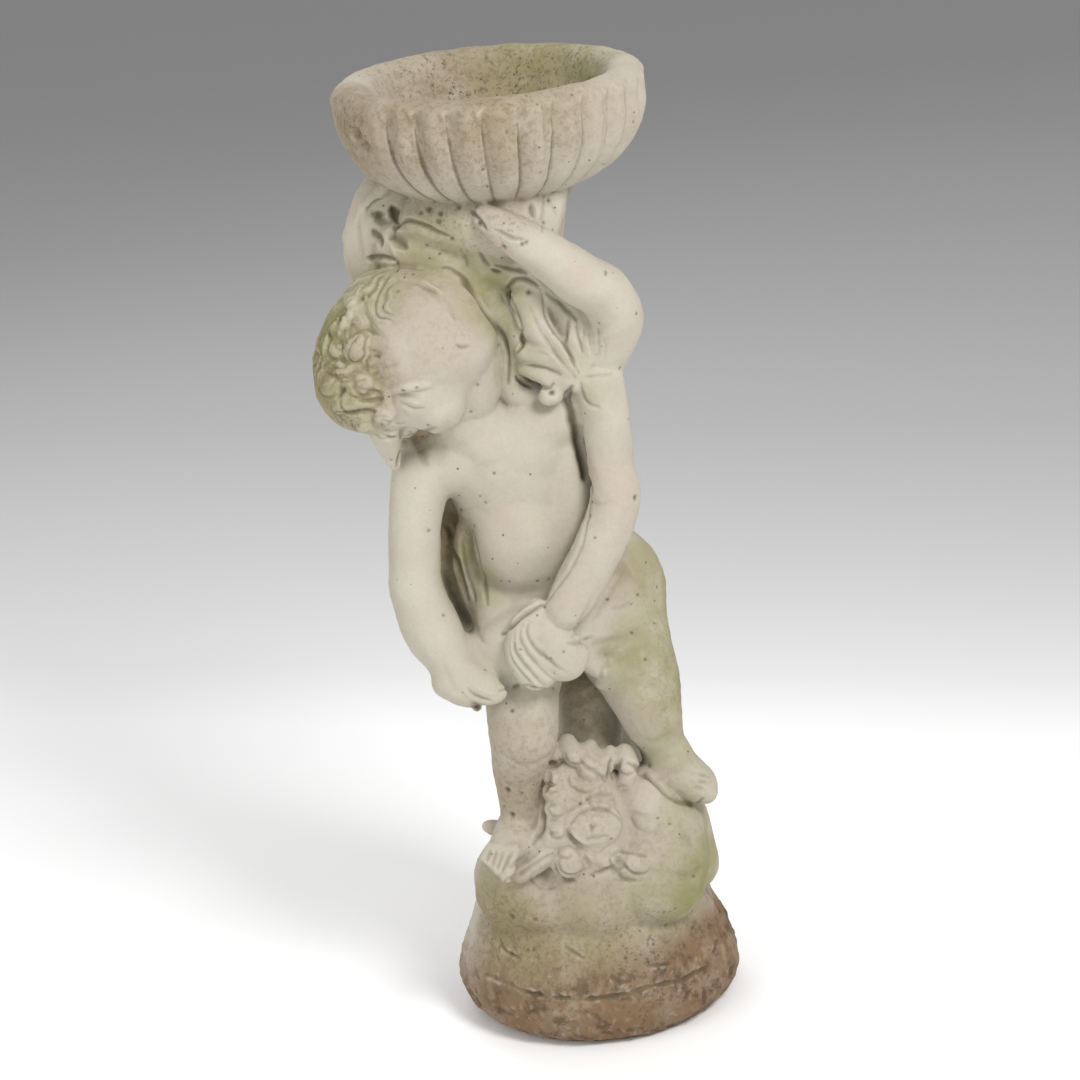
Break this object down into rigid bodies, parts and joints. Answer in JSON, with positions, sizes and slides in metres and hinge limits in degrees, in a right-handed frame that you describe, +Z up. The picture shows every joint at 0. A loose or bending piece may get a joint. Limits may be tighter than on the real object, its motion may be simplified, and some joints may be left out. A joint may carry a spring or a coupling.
{
  "type": "cherub garden statue",
  "caption": "Garden statue in weathered cast stone: a standing cherub, head bowed, one arm raised under a shallow fluted bowl, on a rocky mound with flowers over a round grooved base.",
  "frame": {"origin": "centre of the round base's underside", "axes": "+Z up; the figure faces -Y; +X is towards its raised left arm"},
  "size_m": [0.2926, 0.2428, 0.799],
  "materials": {
    "cast_stone": "matt, pitted cream cast stone, with green algae and brown stain"
  },
  "bodies": {
    "root": {"cherub_statue": "cast_stone"}
  },
  "joints": []
}
